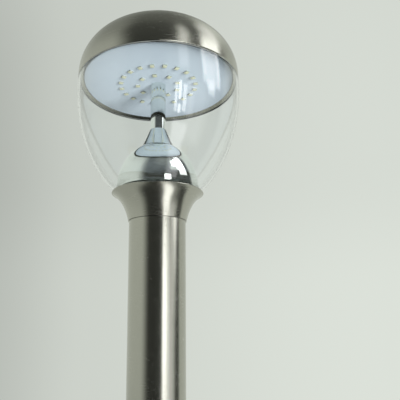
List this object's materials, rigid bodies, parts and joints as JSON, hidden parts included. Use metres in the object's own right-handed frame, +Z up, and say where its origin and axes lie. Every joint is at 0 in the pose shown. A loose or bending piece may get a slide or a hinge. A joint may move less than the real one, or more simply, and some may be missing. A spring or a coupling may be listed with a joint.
{
  "type": "outdoor post light",
  "caption": "Post light: a brushed steel post and flared collar carry a clear egg-shaped globe with a chrome dome and stem inside, under a domed cap holding a plate of light chips.",
  "frame": {"origin": "centre of the base plate's underside", "axes": "+Z up along the post's axis; -Y is the side that faced the camera"},
  "size_m": [0.1764, 0.1764, 0.6005],
  "materials": {
    "brushed_steel": "satin, brushed",
    "plated_steel": "zinc plated",
    "chrome": "mirror polish",
    "clear_globe": "clear",
    "white_plate": "satin white",
    "light_chip": "pale yellow lens",
    "black_rubber": "matt black",
    "grey_seal": "translucent grey",
    "white_plastic": "matt white",
    "board_green": "green solder mask",
    "coil_yellow": "yellow tape",
    "capacitor_blue": "sleeved"
  },
  "bodies": {
    "post": {"base_plate": "brushed_steel", "cable_grommet": "black_rubber", "post_weld": "brushed_steel", "post_tube": "brushed_steel", "terminal_shelf": "plated_steel", "supply_socket": "white_plastic", "socket_clamp_screws": "plated_steel", "socket_fixing_screws": "plated_steel", "earth_screw": "plated_steel"},
    "set_screw_left": {"set_screw_left": "plated_steel"},
    "set_screw_right": {"set_screw_right": "plated_steel"},
    "head": {"spigot": "plated_steel", "collar": "brushed_steel", "seat_plate": "plated_steel", "lower_gasket": "black_rubber", "globe": "clear_globe", "upper_gasket": "grey_seal", "spacer_tube": "plated_steel", "reflector_dome": "chrome", "reflector_neck": "chrome", "rod_sleeve": "chrome", "lower_washer": "plated_steel", "lower_nut": "plated_steel"},
    "cap": {"cap_shell": "brushed_steel", "cap_bridge": "plated_steel", "led_plate": "white_plate", "led_chips_outer": "light_chip", "led_chips_inner": "light_chip", "hub_spacer": "plated_steel", "plate_standoffs": "plated_steel", "plate_screws": "plated_steel", "tie_rod": "plated_steel", "upper_washer": "plated_steel", "upper_nut": "plated_steel", "driver_case": "white_plastic", "driver_lid": "white_plastic", "driver_board": "board_green", "driver_transformer": "coil_yellow", "driver_capacitors": "capacitor_blue", "driver_screws": "plated_steel", "led_connector": "white_plastic", "led_lead": "black_rubber", "mains_lead": "black_rubber", "lead_plug": "white_plastic"}
  },
  "joints": [
    {"name": "head_lift", "type": "slide", "parent": "post", "child": "head", "axis": [0, 0, 1], "range_m": [0, 0.06]},
    {"name": "cap_lift", "type": "slide", "parent": "head", "child": "cap", "axis": [0, 0, 1], "range_m": [0, 0.06]},
    {"name": "set_screw_left_out", "type": "slide", "parent": "post", "child": "set_screw_left", "axis": [-0.5, 0.866, 0], "range_m": [0, 0.006]},
    {"name": "set_screw_right_out", "type": "slide", "parent": "post", "child": "set_screw_right", "axis": [0.5, 0.866, 0], "range_m": [0, 0.006]}
  ]
}
